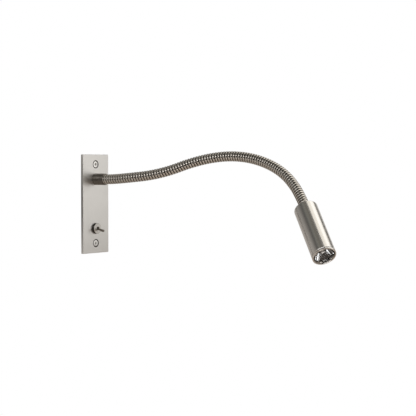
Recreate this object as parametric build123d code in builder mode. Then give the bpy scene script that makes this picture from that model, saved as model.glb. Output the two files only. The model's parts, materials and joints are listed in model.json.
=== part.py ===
from build123d import *
import math
import os

os.makedirs("parts", exist_ok=True)

# A reading lamp for a wall: a face plate with a toggle switch, a ribbed arm that bends and
# stays where it is put, and a small LED spotlight. The origin is the middle of the plate's back
# face, which lies on the wall. -Y points out of the wall, +Z is up, and sizes are millimetres.

# Gaps between pieces
slip_gap = 0.05  # round a stud, a tube or a slug in its hole
thread_gap = 0.03  # round a screw in its thread
sleeve_gap = 0.1  # round the hose in its sockets, and between faces that nearly meet
ball_gap = 0.15  # round the ball at each joint of the arm
wire_gap = 0.3  # round a wire in its hole
cut_past = 1.0  # a cut runs this far past the face that it opens
corner_share = 0.45  # of the shorter of its two runs, taken up by a wire's rounded corner

# Face plate
plate_width = 45.0
plate_height = 120.0
plate_thick = 3.0
plate_corner = 1.0
plate_edge = 0.5
arm_height = 30.0  # from the plate's middle up to the arm
switch_height = -30.0
screw_height = 48.0  # from the plate's middle to each plate screw

# Plate screws, countersunk, with a hexagon socket
screw_dia = 5.0
screw_length = 12.0
screw_head_dia = 9.0
screw_hole_dia = 5.5
countersink_dia = 9.7
countersink_angle = 90.0
screw_sunk = 0.15  # the head lies this far below the plate's face
screw_socket = 3.0
screw_socket_depth = 1.8

# Back box in the wall
box_width = 38.0
box_height = 112.0
box_depth = 42.0  # from the wall's face to the box's back
box_pocket = 0.3  # the pocket in the plate's back that the box's mouth sits in
box_wall = 1.2
lug_width = 14.0
lug_reach = 13.0
lug_thick = 2.0
fixing_dia = 4.5
fixing_across = 24.0
fixing_up = 96.0
grommet_height = -36.0
grommet_bore = 8.0
grommet_hole = 14.0
grommet_flange_dia = 18.0
grommet_flange = 1.5

# The bending arm's middle line: degrees to the side and degrees up at each of its joints. Each
# length of hose turns steadily from one heading to the next.
arm_headings = [
    (0, 0), (10, 5), (18, 6), (22, 13), (23, 20), (23, 14), (16, 6),
    (8, -4), (2, -14), (-6, -23), (-15, -34), (-25, -43), (-33, -44),
]
hose_dia = 12.0
hose_valley_dia = 10.2
hose_bore = 6.2
rib_pitch = 3.36
ribs_in_length = 7
joint_groove = 1.68  # the groove at each joint is wider than the others by this much
rib_foot = 2.1  # a rib's width at the valley
rib_crest = 1.3  # a rib's width at its top
ball_dia = 9.0
ball_reach = 2.0  # from the middle of a joint to the end of its ball
socket_reach = 3.4  # from the middle of a joint to the floor of its socket
lead_dia = 4.6
lead_break = 0.8  # between two lengths of lead at a joint
core_dia = 1.4
core_across = 2.2  # between the lead's two cores

# Fittings at the two ends of the hose
ferrule_wall = 0.9
ferrule_length = 16.0
ferrule_bevel = 0.4
hose_socket_depth = 13.6
stud_dia = 10.0
stud_past_nut = 1.0
flange_thick = 1.5
nose_length = 6.0
nut_across = 14.0
nut_thick = 2.5
tag_dia = 16.0
tag_thick = 0.8
tag_width = 6.0
tag_reach = 12.0
tag_wire_reach = 10.0

# Toggle switch
bushing_dia = 6.3
bushing_bore = 5.3
bushing_mouth = 4.2
bushing_lip = 0.6
bushing_sunk = 0.7  # the bushing ends this far below the dress nut's face
bushing_flange_dia = 7.4
bushing_flange = 0.5
dress_nut_dia = 13.0
dress_nut_thick = 3.5
dress_nut_bevel = 0.5
dress_nut_step = 0.4
dress_nut_plateau = 9.2
dress_nut_hole = 4.8
lock_washer_dia = 10.0
lock_washer_thick = 0.5
back_nut_across = 8.0
back_nut_thick = 1.8
frame_setback = 3.0  # from the plate's back to the switch's frame
frame_width = 7.9
frame_height = 13.2
frame_thick = 0.8
frame_tab = 0.25
frame_tab_height = 5.0
frame_tab_length = 6.5
case_depth = 8.7
case_wall = 0.8
case_floor = 1.2
pivot_depth = 2.9  # from the dress nut's face down to the lever's pivot
lever_ball_dia = 4.8
lever_length = 13.0
lever_root_dia = 2.0
lever_tip_dia = 2.9
lever_tip_round = 0.8
lever_straight = 5.0  # the lever's even stretch at its tip
lever_tail = 10.4
lever_tail_dia = 1.4
lever_tilt = 12.5  # at rest the lever points this many degrees below level
blade_width = 2.0
blade_thick = 0.8
blade_length = 4.7
blade_spacing = 4.7
rocker_width = 3.2
rocker_thick = 0.4
rocker_reach = 4.5
rocker_vee = 14.0  # each arm of the rocker rises by this many degrees
rocker_tilt = 8.0
rocker_clear = 0.5  # from the lever's tail to the rocker, when both stand level
contact_gap = 0.15

# Driver in the back box
driver_width = 30.0
driver_height = 40.0
driver_depth = 20.0
driver_wall = 1.5
driver_middle = 22.0
driver_lip = 1.5
driver_post_dia = 4.0
driver_post = 4.0
driver_post_across = 20.0
driver_post_up = 26.0
board_width = 25.0
board_height = 32.0
board_thick = 1.6
transformer_size = 13.0
transformer_tall = 9.0
capacitor_dia = 8.0
capacitor_tall = 9.0
part_across = 6.0  # from the board's middle to its transformer and its capacitors
part_up = 7.0

# Terminal block and wires in the back box
terminal_poles = 4
terminal_pitch = 6.0
terminal_width = 26.0
terminal_height = 12.0
terminal_depth = 14.0
terminal_middle = -14.0
terminal_port = 3.0
terminal_port_depth = 5.0
terminal_screw_dia = 2.6
terminal_screw_in = 2.5  # from the block's end to each screw
terminal_screw_sunk = 0.5
terminal_slot = 0.6
wire_dia = 1.8
wire_in_port = 3.5
wire_in_driver = 2.0
wire_rise = 5.5  # how far the wires rise past the block before they turn
wire_drop = 8.0  # how far the switch's return wire hangs below the block
wire_lane = 23.5  # the depth at which the wires run to the switch
earth_lane = 13.0  # the depth at which the earth wire rises
jacket_in_box = 10.0  # the lead's jacket ends at this depth
core_lane = 16.5  # the depth at which the lead's cores rise
core_in_driver = 8.7  # from the front of the driver's case to its holes for the cores
core_rise = 7.0

# Lamp head
head_dia = 26.5
head_length = 71.0
head_wall = 1.2
head_round = 2.0
head_web = 4.0  # the wall that the hose's fitting is screwed to
ring_thick = 2.0
ring_opening = 23.5
ring_bevel = 0.3
ring_seam = 0.15
ring_seat = 0.55  # the ring's skirt is let this far into the shell's wall
ring_skirt = 1.5
gasket_thick = 0.5
lens_rim = 1.2
lens_dia = 23.2
lens_dome = 1.6
lens_dome_foot = 0.6  # from the ring's back down to the foot of the lens's dome
lens_throat_dia = 9.2
lens_mouth_dia = 22.8
lens_cone = 9.0
lens_pocket_dia = 4.6
lens_pocket_depth = 3.6
lens_lift = 2.6  # from the LED's board to the lens
holder_gap = 0.35
holder_floor = 0.8
holder_play = 0.15
holder_on_board = 1.4  # how far the holder's foot reaches in over the LED's board
led_board_dia = 22.0
led_size = 3.5
led_thick = 1.5
led_dome_dia = 2.8  # less than twice the package's thickness
pad_dia = 21.0
pad_thick = 0.4
sink_length = 16.0
sink_bore = 5.0
jacket_in_head = 24.0  # the lead's jacket ends this far inside the head
core_straight = 3.0
core_spread = 6.0
core_circle = 12.0
core_past_board = 0.3
led_screw_dia = 2.4
led_screw_circle = 14.0
led_screw_head = 4.2
led_screw_head_tall = 1.3
led_screw_length = 6.0


def heading(side, rise):
    """The direction out of the wall, turned to the side and up by these degrees."""
    turn, lift = math.radians(side), math.radians(rise)
    flat = math.cos(lift)
    return Vector(flat * math.sin(turn), -flat * math.cos(turn), math.sin(lift))


def side_of(direction):
    """The level direction square to a heading."""
    return Vector(0, 0, 1).cross(direction).normalized()


def lathe(origin, direction):
    """The plane that a turned piece's outline is drawn on. Its X is the piece's axis."""
    return Plane(origin=origin, x_dir=direction, z_dir=side_of(direction))


def turning(plane):
    """The axis of a turned piece."""
    return Axis(plane.origin, plane.x_dir)


def station(plane, along):
    """The plane square to a turned piece's axis, at a distance along it."""
    return Plane(origin=plane.origin + plane.x_dir * along, x_dir=plane.z_dir, z_dir=plane.x_dir)


def depth_plane(depth):
    """The plane at a depth behind the wall's face, which faces out of the wall."""
    return Plane.XZ.offset(-depth)


def outline(plane, *points):
    """A closed outline of a turned piece. Each point is a distance along it and a radius."""
    with BuildSketch(plane) as profile:
        with BuildLine():
            Polyline(*points, close=True)
        make_face()
    return profile.sketch


def ball_outline(plane, radius, back, front):
    """A ball's outline, cut flat at these distances behind and in front of its middle."""
    back_edge = (-back, math.sqrt(radius**2 - back**2))
    front_edge = (front, math.sqrt(radius**2 - front**2))
    with BuildSketch(plane) as profile:
        with BuildLine():
            Polyline(front_edge, (front, 0), (-back, 0), back_edge)
            ThreePointArc(back_edge, (0, radius), front_edge)
        make_face()
    return profile.sketch


def nut_face(plane, across, hole_dia):
    """A hexagon with a round hole."""
    with BuildSketch(plane) as face:
        RegularPolygon(across / 2, 6, major_radius=False)
        Circle(hole_dia / 2, mode=Mode.SUBTRACT)
    return face.sketch


def fitting_outline(plane, web_front, web_back):
    """A hollow stud whose flange clamps a web and whose nose holds the end of the hose."""
    way = lead_dia / 2 + sleeve_gap
    flange_front = web_front + flange_thick
    flange_radius = hose_dia / 2 - sleeve_gap
    nose_radius = hose_bore / 2 - sleeve_gap
    stud_end = web_back - nut_thick - stud_past_nut
    return outline(
        plane,
        (stud_end, way),
        (stud_end, stud_dia / 2),
        (web_front, stud_dia / 2),
        (web_front, flange_radius),
        (flange_front, flange_radius),
        (flange_front, nose_radius),
        (flange_front + nose_length, nose_radius),
        (flange_front + nose_length, way),
    )


def route(name, *points):
    """A wire's path through points, each corner as round as its two runs allow."""
    points = [Vector(*point) for point in points]
    runs = [after - before for before, after in zip(points, points[1:])]
    radii = []
    for before, after in zip(runs, runs[1:]):
        half_turn = math.radians(before.get_angle(after)) / 2
        radii.append(corner_share * min(before.length, after.length) / math.tan(half_turn))
    print(name, "radii", [round(radius, 1) for radius in radii])
    with BuildLine() as path:
        if radii:
            FilletPolyline(*points, radius=radii)
        else:
            Line(*points)
    return path.line


def round_section(path, diameter):
    """A round section at the start of a path."""
    with BuildSketch(Plane(origin=path @ 0, z_dir=path % 0)) as section:
        Circle(diameter / 2)
    return section.sketch


# Face plate: brushed metal with two countersunk screw holes, a hole for the arm's stud and one
# for the switch's bushing. A shallow pocket in its back seats it on the box, and the rim round
# the pocket lies on the wall.
plate_face = depth_plane(-plate_thick)
pocket_floor = depth_plane(-box_pocket)
with BuildPart(plate_face) as front_plate:
    with BuildSketch(plate_face):
        RectangleRounded(plate_width, plate_height, plate_corner)
    extrude(amount=-plate_thick)
    fillet(front_plate.faces().sort_by(Axis.Y)[0].edges(), plate_edge)
    with BuildSketch(pocket_floor):
        Rectangle(box_width + 2 * slip_gap, box_height + 2 * slip_gap)
    extrude(amount=-box_pocket, mode=Mode.SUBTRACT)
    with Locations((0, screw_height), (0, -screw_height)):
        CounterSinkHole(
            screw_hole_dia / 2,
            countersink_dia / 2,
            depth=plate_thick,
            counter_sink_angle=countersink_angle,
        )
    with Locations((0, arm_height)):
        Hole(stud_dia / 2 + slip_gap, depth=plate_thick)
    with Locations((0, switch_height)):
        Hole(bushing_dia / 2 + slip_gap, depth=plate_thick)
front_plate.part.label = "front_plate"
export_step(front_plate.part, "parts/front_plate.step")

# Two countersunk screws that hold the plate to the back box.
screw_front = plate_thick - screw_sunk
screw_cone = (screw_head_dia - screw_dia) / 2
with BuildPart() as plate_screws:
    for height in (screw_height, -screw_height):
        screw = lathe(Vector(0, 0, height), heading(0, 0))
        body = outline(
            screw,
            (screw_front, 0),
            (screw_front, screw_head_dia / 2),
            (screw_front - screw_cone, screw_dia / 2),
            (screw_front - screw_length, screw_dia / 2),
            (screw_front - screw_length, 0),
        )
        revolve(body, axis=turning(screw))
        with BuildSketch(station(screw, screw_front)):
            RegularPolygon(screw_socket / 2, 6, major_radius=False)
        extrude(amount=-screw_socket_depth, mode=Mode.SUBTRACT)
plate_screws.part.label = "plate_screws"
export_step(plate_screws.part, "parts/plate_screws.step")

# Back box: sheet steel, let into the wall and open behind the plate, with a tapped lug for each
# plate screw, four fixing holes and a cable hole.
floor_depth = box_depth - box_wall
lug_middle = box_height / 2 - lug_reach / 2
with BuildPart() as back_box:
    with BuildSketch(pocket_floor):
        Rectangle(box_width, box_height)
    extrude(amount=-box_pocket - box_depth)
    with BuildSketch(pocket_floor):
        Rectangle(box_width - 2 * box_wall, box_height - 2 * box_wall)
    extrude(amount=-box_pocket - floor_depth, mode=Mode.SUBTRACT)
    with BuildSketch(pocket_floor):
        with Locations((0, lug_middle), (0, -lug_middle)):
            Rectangle(lug_width, lug_reach)
        with Locations((0, screw_height), (0, -screw_height)):
            Circle(screw_dia / 2 + thread_gap, mode=Mode.SUBTRACT)
    extrude(amount=-lug_thick)
    with BuildSketch(depth_plane(box_depth)):
        with GridLocations(fixing_across, fixing_up, 2, 2):
            Circle(fixing_dia / 2)
        with Locations((0, grommet_height)):
            Circle(grommet_hole / 2 + slip_gap)
    extrude(amount=box_wall, mode=Mode.SUBTRACT)
back_box.part.label = "back_box"
export_step(back_box.part, "parts/back_box.step")

# Rubber grommet in the box's cable hole.
grommet = lathe(Vector(0, box_depth, grommet_height), heading(0, 0))
with BuildPart() as box_grommet:
    ring = outline(
        grommet,
        (-grommet_flange, grommet_bore / 2),
        (-grommet_flange, grommet_flange_dia / 2),
        (0, grommet_flange_dia / 2),
        (0, grommet_hole / 2),
        (box_wall, grommet_hole / 2),
        (box_wall, grommet_flange_dia / 2),
        (box_wall + grommet_flange, grommet_flange_dia / 2),
        (box_wall + grommet_flange, grommet_bore / 2),
    )
    revolve(ring, axis=turning(grommet))
box_grommet.part.label = "box_grommet"
export_step(box_grommet.part, "parts/box_grommet.step")

# Ferrule: the turned sleeve that the arm comes out of. Its web is clamped to the plate.
root = lathe(Vector(0, 0, arm_height), heading(0, 0))
hose_socket = hose_dia / 2 + sleeve_gap
stud_hole = stud_dia / 2 + slip_gap
ferrule_radius = hose_socket + ferrule_wall
ferrule_mouth = plate_thick + ferrule_length
ferrule_web = ferrule_mouth - hose_socket_depth
with BuildPart() as ferrule:
    sleeve = outline(
        root,
        (plate_thick, stud_hole),
        (plate_thick, ferrule_radius),
        (ferrule_mouth - ferrule_bevel, ferrule_radius),
        (ferrule_mouth, ferrule_radius - ferrule_bevel),
        (ferrule_mouth, hose_socket),
        (ferrule_web, hose_socket),
        (ferrule_web, stud_hole),
    )
    revolve(sleeve, axis=turning(root))
ferrule.part.label = "ferrule"
export_step(ferrule.part, "parts/ferrule.step")

# Root fitting: the hollow stud through the ferrule and the plate, which the hose sits on.
tag_back = box_pocket - tag_thick
with BuildPart() as root_fitting:
    revolve(fitting_outline(root, ferrule_web, tag_back), axis=turning(root))
root_fitting.part.label = "root_fitting"
export_step(root_fitting.part, "parts/root_fitting.step")

# Earth tag: a stamped ring on the stud, with a tongue for the earth wire.
with BuildPart() as earth_tag:
    with BuildSketch(pocket_floor):
        with Locations((0, arm_height)):
            Circle(tag_dia / 2)
        with Locations((0, arm_height - tag_reach / 2)):
            Rectangle(tag_width, tag_reach)
        with Locations((0, arm_height)):
            Circle(stud_hole, mode=Mode.SUBTRACT)
    extrude(amount=-tag_thick)
earth_tag.part.label = "earth_tag"
export_step(earth_tag.part, "parts/earth_tag.step")

# Locknut that clamps the plate, the ferrule and the earth tag on the stud.
with BuildPart() as root_locknut:
    nut = nut_face(station(root, tag_back), nut_across, stud_dia + 2 * thread_gap)
    extrude(nut, amount=-nut_thick)
root_locknut.part.label = "root_locknut"
export_step(root_locknut.part, "parts/root_locknut.step")

# The arm's middle line, from the ferrule's mouth to the back of the head.
length_of_hose = rib_pitch * ribs_in_length + joint_groove
directions = [heading(side, rise) for side, rise in arm_headings]
joints = [root.origin + root.x_dir * ferrule_mouth]
arcs = []
for before, after in zip(directions, directions[1:]):
    turn = math.radians(before.get_angle(after))
    chord = 2 * length_of_hose / turn * math.sin(turn / 2)
    joints.append(joints[-1] + (before + after).normalized() * chord)
    print("arm joint", [round(value, 3) for value in joints[-1]], "radius", round(length_of_hose / turn, 1))
    with BuildLine() as bend:
        TangentArc(joints[-2], joints[-1], tangent=before)
    arcs.append(bend.edges()[0])
head = lathe(joints[-1], directions[-1])


def ring_plane(arc, place):
    """The plane square to a bend at a distance along it, with its X level."""
    direction = arc % (place / arc.length)
    return Plane(arc @ (place / arc.length), x_dir=side_of(direction), z_dir=direction)


# Hose: twelve lengths of ribbed steel tube, each rib a ruled loft through four circles. The ball
# at a length's far end turns in the next length, in a wider groove, so that the arm bends and
# holds its shape. The first and the last length run straight on into the ferrule and the head.
hose_hidden = hose_socket_depth - flange_thick - sleeve_gap
ball_radius = ball_dia / 2
ball_root = (rib_pitch + joint_groove) / 2
for number, arc in enumerate(arcs, start=1):
    first, last = number == 1, number == len(arcs)
    rings = [(0, hose_valley_dia)] if first else []
    for rib in range(ribs_in_length):
        middle = (rib + 0.5) * rib_pitch + joint_groove / 2
        rings += [
            (middle - rib_foot / 2, hose_valley_dia),
            (middle - rib_crest / 2, hose_dia),
            (middle + rib_crest / 2, hose_dia),
            (middle + rib_foot / 2, hose_valley_dia),
        ]
    rings += [(length_of_hose, hose_valley_dia)] if last else []
    near, far = ring_plane(arc, 0), ring_plane(arc, length_of_hose)
    with BuildPart() as hose:
        for place, diameter in rings:
            with BuildSketch(ring_plane(arc, place)):
                Circle(diameter / 2)
        loft(ruled=True)
        if first:
            with BuildSketch(near):
                Circle(hose_dia / 2)
            extrude(amount=-hose_hidden)
        else:
            socket = lathe(near.origin, near.z_dir)
            hollow = ball_outline(socket, ball_radius + ball_gap, cut_past, socket_reach)
            revolve(hollow, axis=turning(socket), mode=Mode.SUBTRACT)
        if last:
            with BuildSketch(far):
                Circle(hose_dia / 2)
            extrude(amount=hose_hidden)
        else:
            ball = lathe(far.origin, far.z_dir)
            revolve(ball_outline(ball, ball_radius, ball_root, ball_reach), axis=turning(ball))
        with BuildLine() as bore:
            if first:
                Line(near.origin - near.z_dir * (hose_hidden + cut_past), near.origin)
            add(arc)
            past = hose_hidden if last else ball_reach
            Line(far.origin, far.origin + far.z_dir * (past + cut_past))
        sweep(round_section(bore.line, hose_bore), path=bore.line, mode=Mode.SUBTRACT)
    name = f"arm_hose_{number:02d}"
    hose.part.label = name
    export_step(hose.part, f"parts/{name}.step")

# Lead: the two-core lead inside the hose, in a length for each length of hose. Its jacket ends
# inside the back box and inside the head, and its cores run on to the driver and to the LED.
core_side = core_across / 2
case_front = floor_depth - driver_depth + driver_wall
core_port = case_front + core_in_driver
driver_top = driver_middle + driver_height / 2
driver_bottom = driver_middle - driver_height / 2
core_top = driver_top + core_rise
lens_back = head_length - ring_thick - ring_skirt - 2 * sleeve_gap - gasket_thick - lens_rim
lens_throat = lens_back - lens_cone
board_front = lens_throat - lens_lift
for number, arc in enumerate(arcs, start=1):
    first, last = number == 1, number == len(arcs)
    near, far = ring_plane(arc, 0), ring_plane(arc, length_of_hose)
    trimmed = lead_break / 2 / length_of_hose
    with BuildLine() as way:
        if first:
            Line(root.origin - root.x_dir * jacket_in_box, near.origin)
        add(arc.trim(0 if first else trimmed, 1 if last else 1 - trimmed))
        if last:
            Line(far.origin, far.origin + far.z_dir * jacket_in_head)
    with BuildPart() as lead:
        sweep(round_section(way.line, lead_dia), path=way.line)
        for side in (-1, 1):
            if first:
                core = route(
                    "core in the box",
                    (side * core_side, jacket_in_box, arm_height),
                    (side * core_side, core_lane, arm_height),
                    (side * core_side, core_lane, core_top),
                    (side * core_side, core_port, core_top),
                    (side * core_side, core_port, driver_top - wire_in_driver),
                )
                sweep(round_section(core, core_dia), path=core)
            if last:
                spread = jacket_in_head + core_straight
                places = [
                    (jacket_in_head, core_side),
                    (spread, core_side),
                    (spread + core_spread, core_circle / 2),
                    (board_front + core_past_board, core_circle / 2),
                ]
                ends = [head.origin + head.x_dir * s + head.z_dir * side * out for s, out in places]
                core = route("core in the head", *ends)
                sweep(round_section(core, core_dia), path=core)
    name = f"arm_lead_{number:02d}"
    lead.part.label = name
    export_step(lead.part, f"parts/{name}.step")

# Dress nut: the turned round nut on the face of the plate, with a raised middle.
switch = lathe(Vector(0, 0, switch_height), heading(0, 0))
nut_front = plate_thick + dress_nut_thick
nut_rim = nut_front - dress_nut_step
bushing_front = nut_front - bushing_sunk
thread_radius = bushing_dia / 2 + thread_gap
with BuildPart() as dress_nut:
    turned = outline(
        switch,
        (plate_thick, thread_radius),
        (plate_thick, dress_nut_dia / 2),
        (nut_rim - dress_nut_bevel, dress_nut_dia / 2),
        (nut_rim, dress_nut_dia / 2 - dress_nut_bevel),
        (nut_rim, dress_nut_plateau / 2),
        (nut_front, dress_nut_plateau / 2),
        (nut_front, dress_nut_hole / 2),
        (bushing_front + sleeve_gap, dress_nut_hole / 2),
        (bushing_front + sleeve_gap, thread_radius),
    )
    revolve(turned, axis=turning(switch))
dress_nut.part.label = "dress_nut"
export_step(dress_nut.part, "parts/dress_nut.step")

# Bushing: the threaded tube that the lever swings in. Its flange rests on the switch's frame.
frame_back = frame_setback + frame_thick
with BuildPart() as switch_bushing:
    tube = outline(
        switch,
        (-frame_back, bushing_bore / 2),
        (-frame_back, bushing_dia / 2),
        (-frame_setback, bushing_dia / 2),
        (-frame_setback, bushing_flange_dia / 2),
        (bushing_flange - frame_setback, bushing_flange_dia / 2),
        (bushing_flange - frame_setback, bushing_dia / 2),
        (bushing_front, bushing_dia / 2),
        (bushing_front, bushing_mouth / 2),
        (bushing_front - bushing_lip, bushing_mouth / 2),
        (bushing_front - bushing_lip, bushing_bore / 2),
    )
    revolve(tube, axis=turning(switch))
switch_bushing.part.label = "switch_bushing"
export_step(switch_bushing.part, "parts/switch_bushing.step")

# Lock washer and hexagon nut behind the plate.
with BuildPart() as switch_washer:
    with BuildSketch(station(switch, box_pocket)):
        Circle(lock_washer_dia / 2)
        Circle(bushing_dia / 2 + slip_gap, mode=Mode.SUBTRACT)
    extrude(amount=-lock_washer_thick)
switch_washer.part.label = "switch_washer"
export_step(switch_washer.part, "parts/switch_washer.step")

with BuildPart() as switch_nut:
    washer_back = station(switch, box_pocket - lock_washer_thick)
    extrude(nut_face(washer_back, back_nut_across, 2 * thread_radius), amount=-back_nut_thick)
switch_nut.part.label = "switch_nut"
export_step(switch_nut.part, "parts/switch_nut.step")

# The switch's steel frame: a plate round the bushing, with a tab down each side of the case.
with BuildPart() as switch_frame:
    with BuildSketch(station(switch, -frame_setback)):
        Rectangle(frame_width, frame_height)
        Circle(bushing_dia / 2 + slip_gap, mode=Mode.SUBTRACT)
    extrude(amount=-frame_thick)
    with BuildSketch(station(switch, -frame_back)):
        with GridLocations(frame_width - frame_tab, frame_height, 2, 1):
            Rectangle(frame_tab, frame_tab_height)
    extrude(amount=-frame_tab_length)
switch_frame.part.label = "switch_frame"
export_step(switch_frame.part, "parts/switch_frame.step")

# The switch's moulded case, open at its frame, with a slot in its floor for each terminal.
case_width = frame_width - 2 * frame_tab - 2 * slip_gap
terminal_heights = (blade_spacing, 0, -blade_spacing)
with BuildPart() as switch_case:
    with BuildSketch(station(switch, -frame_back)):
        Rectangle(case_width, frame_height)
    extrude(amount=-case_depth)
    with BuildSketch(station(switch, -frame_back)):
        Rectangle(case_width - 2 * case_wall, frame_height - 2 * case_wall)
    extrude(amount=case_floor - case_depth, mode=Mode.SUBTRACT)
    with BuildSketch(station(switch, -frame_back)):
        with Locations(*[(0, height) for height in terminal_heights]):
            Rectangle(blade_thick + 2 * slip_gap, blade_width + 2 * slip_gap)
    extrude(amount=-case_depth, mode=Mode.SUBTRACT)
switch_case.part.label = "switch_case"
export_step(switch_case.part, "parts/switch_case.step")

# Toggle lever: a turned lever on a ball, whose tail swings inside the case.
pivot = Vector(0, pivot_depth - nut_front, switch_height)
lever = lathe(pivot, heading(0, -lever_tilt))
tail_radius = lever_tail_dia / 2
tail_end = lever_tail - tail_radius
with BuildPart() as toggle_lever:
    rod = outline(
        lever,
        (-tail_end, 0),
        (-tail_end, tail_radius),
        (0, tail_radius),
        (0, lever_root_dia / 2),
        (lever_length - lever_straight, lever_tip_dia / 2),
        (lever_length, lever_tip_dia / 2),
        (lever_length, 0),
    )
    revolve(rod, axis=turning(lever))
    fillet(toggle_lever.edges().sort_by(turning(lever))[-1], lever_tip_round)
    with Locations(pivot):
        Sphere(lever_ball_dia / 2)
    with Locations(pivot - lever.x_dir * tail_end):
        Sphere(tail_radius)
toggle_lever.part.label = "toggle_lever"
export_step(toggle_lever.part, "parts/toggle_lever.step")

# Contact rocker: a shallow V of sprung brass that the lever's tail tips from side to side.
rocker_depth = pivot.Y + lever_tail + rocker_clear + rocker_thick
tilt, vee = math.radians(rocker_tilt), math.radians(rocker_vee)
rocker_plane = Plane(
    origin=(0, rocker_depth, switch_height),
    x_dir=(0, math.sin(tilt), math.cos(tilt)),
    z_dir=(1, 0, 0),
)
arm_end = Vector(rocker_reach * math.cos(vee), rocker_reach * math.sin(vee))
arm_top = arm_end + Vector(-rocker_thick * math.sin(vee), rocker_thick * math.cos(vee))
with BuildPart() as contact_rocker:
    with BuildSketch(rocker_plane):
        with BuildLine():
            Polyline(
                (0, 0),
                (arm_end.X, arm_end.Y),
                (arm_top.X, arm_top.Y),
                (0, rocker_thick / math.cos(vee)),
                (-arm_top.X, arm_top.Y),
                (-arm_end.X, arm_end.Y),
                close=True,
            )
        make_face()
    extrude(amount=rocker_width / 2, both=True)
contact_rocker.part.label = "contact_rocker"
export_step(contact_rocker.part, "parts/contact_rocker.step")

# Three terminals. The rocker stands on the middle one and tips against the outer ones.
case_back = frame_back + case_depth
blade_end = case_back + blade_length
tip_in = (blade_spacing - blade_width / 2) * math.tan(vee - tilt)
with BuildPart() as switch_terminals:
    for height in terminal_heights:
        start = rocker_depth + contact_gap - (tip_in if height else 0)
        with BuildSketch(station(switch, -start)):
            with Locations((0, height)):
                Rectangle(blade_thick, blade_width)
        extrude(amount=start - blade_end)
switch_terminals.part.label = "switch_terminals"
export_step(switch_terminals.part, "parts/switch_terminals.step")

# Driver: a moulded case on the box's floor, open at the front, with posts for its board and
# holes for its wires.
driver_floor = floor_depth - driver_wall
poles = [(place - (terminal_poles - 1) / 2) * terminal_pitch for place in range(terminal_poles)]
neutral, live, switched, earth = poles
port_depth = floor_depth - terminal_depth / 2
mains_holes = [(neutral, port_depth), (switched, port_depth)]
core_holes = [(-core_side, core_port), (core_side, core_port)]
with BuildPart() as driver_case:
    with BuildSketch(depth_plane(floor_depth)):
        with Locations((0, driver_middle)):
            Rectangle(driver_width, driver_height)
    extrude(amount=driver_depth - driver_wall)
    with BuildSketch(depth_plane(driver_floor)):
        with Locations((0, driver_middle)):
            Rectangle(driver_width - 2 * driver_wall, driver_height - 2 * driver_wall)
    extrude(amount=driver_depth, mode=Mode.SUBTRACT)
    with BuildSketch(depth_plane(driver_floor)):
        with Locations((0, driver_middle)):
            with GridLocations(driver_post_across, driver_post_up, 2, 2):
                Circle(driver_post_dia / 2)
    extrude(amount=driver_post)
    with BuildSketch(Plane.XY.offset(driver_bottom)):
        with Locations(*mains_holes):
            Circle(wire_dia / 2 + wire_gap)
    extrude(amount=driver_wall, mode=Mode.SUBTRACT)
    with BuildSketch(Plane.XY.offset(driver_top)):
        with Locations(*core_holes):
            Circle(core_dia / 2 + wire_gap)
    extrude(amount=-driver_wall, mode=Mode.SUBTRACT)
driver_case.part.label = "driver_case"
export_step(driver_case.part, "parts/driver_case.step")

# The driver's cover, with a lip that drops into its case.
lip_width = driver_width - 2 * driver_wall - 2 * sleeve_gap
lip_height = driver_height - 2 * driver_wall - 2 * sleeve_gap
with BuildPart() as driver_cover:
    with BuildSketch(depth_plane(case_front)):
        with Locations((0, driver_middle)):
            Rectangle(driver_width, driver_height)
    extrude(amount=driver_wall)
    with BuildSketch(depth_plane(case_front)):
        with Locations((0, driver_middle)):
            Rectangle(lip_width, lip_height)
            Rectangle(lip_width - 2 * driver_lip, lip_height - 2 * driver_lip, mode=Mode.SUBTRACT)
    extrude(amount=-driver_lip)
driver_cover.part.label = "driver_cover"
export_step(driver_cover.part, "parts/driver_cover.step")

# The driver's circuit board, with its transformer, a choke and two capacitors soldered on.
board_back = driver_floor - driver_post
board_face = board_back - board_thick
with BuildPart() as driver_board:
    with BuildSketch(depth_plane(board_back)):
        with Locations((0, driver_middle)):
            Rectangle(board_width, board_height)
    extrude(amount=board_thick)
    with BuildSketch(depth_plane(board_face)):
        with Locations((-part_across, driver_middle - part_up)):
            Rectangle(transformer_size, transformer_size)
        with Locations((-part_across, driver_middle + part_up)):
            Rectangle(transformer_size / 2, transformer_size / 2)
    extrude(amount=transformer_tall)
    with BuildSketch(depth_plane(board_face)):
        with Locations((part_across, driver_middle - part_up), (part_across, driver_middle + part_up)):
            Circle(capacitor_dia / 2)
    extrude(amount=capacitor_tall)
driver_board.part.label = "driver_board"
export_step(driver_board.part, "parts/driver_board.step")

# Terminal block: a moulded block with a port at each end of every pole and a screw over each.
block_front = floor_depth - terminal_depth
block_top = terminal_middle + terminal_height / 2
block_bottom = terminal_middle - terminal_height / 2
ports = [(pole, port_depth) for pole in poles]
screw_rows = (block_top - terminal_screw_in, block_bottom + terminal_screw_in)
screw_places = [(pole, row) for pole in poles for row in screw_rows]
with BuildPart() as terminal_block:
    with BuildSketch(depth_plane(floor_depth)):
        with Locations((0, terminal_middle)):
            Rectangle(terminal_width, terminal_height)
    extrude(amount=terminal_depth)
    with BuildSketch(Plane.XY.offset(block_top)):
        with Locations(*ports):
            Circle(terminal_port / 2)
    extrude(amount=-terminal_port_depth, mode=Mode.SUBTRACT)
    with BuildSketch(Plane.XY.offset(block_bottom)):
        with Locations(*ports):
            Circle(terminal_port / 2)
    extrude(amount=terminal_port_depth, mode=Mode.SUBTRACT)
    with BuildSketch(depth_plane(block_front)):
        with Locations(*screw_places):
            Circle(terminal_screw_dia / 2 + thread_gap)
    extrude(amount=block_front - port_depth, mode=Mode.SUBTRACT)
terminal_block.part.label = "terminal_block"
export_step(terminal_block.part, "parts/terminal_block.step")

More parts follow.
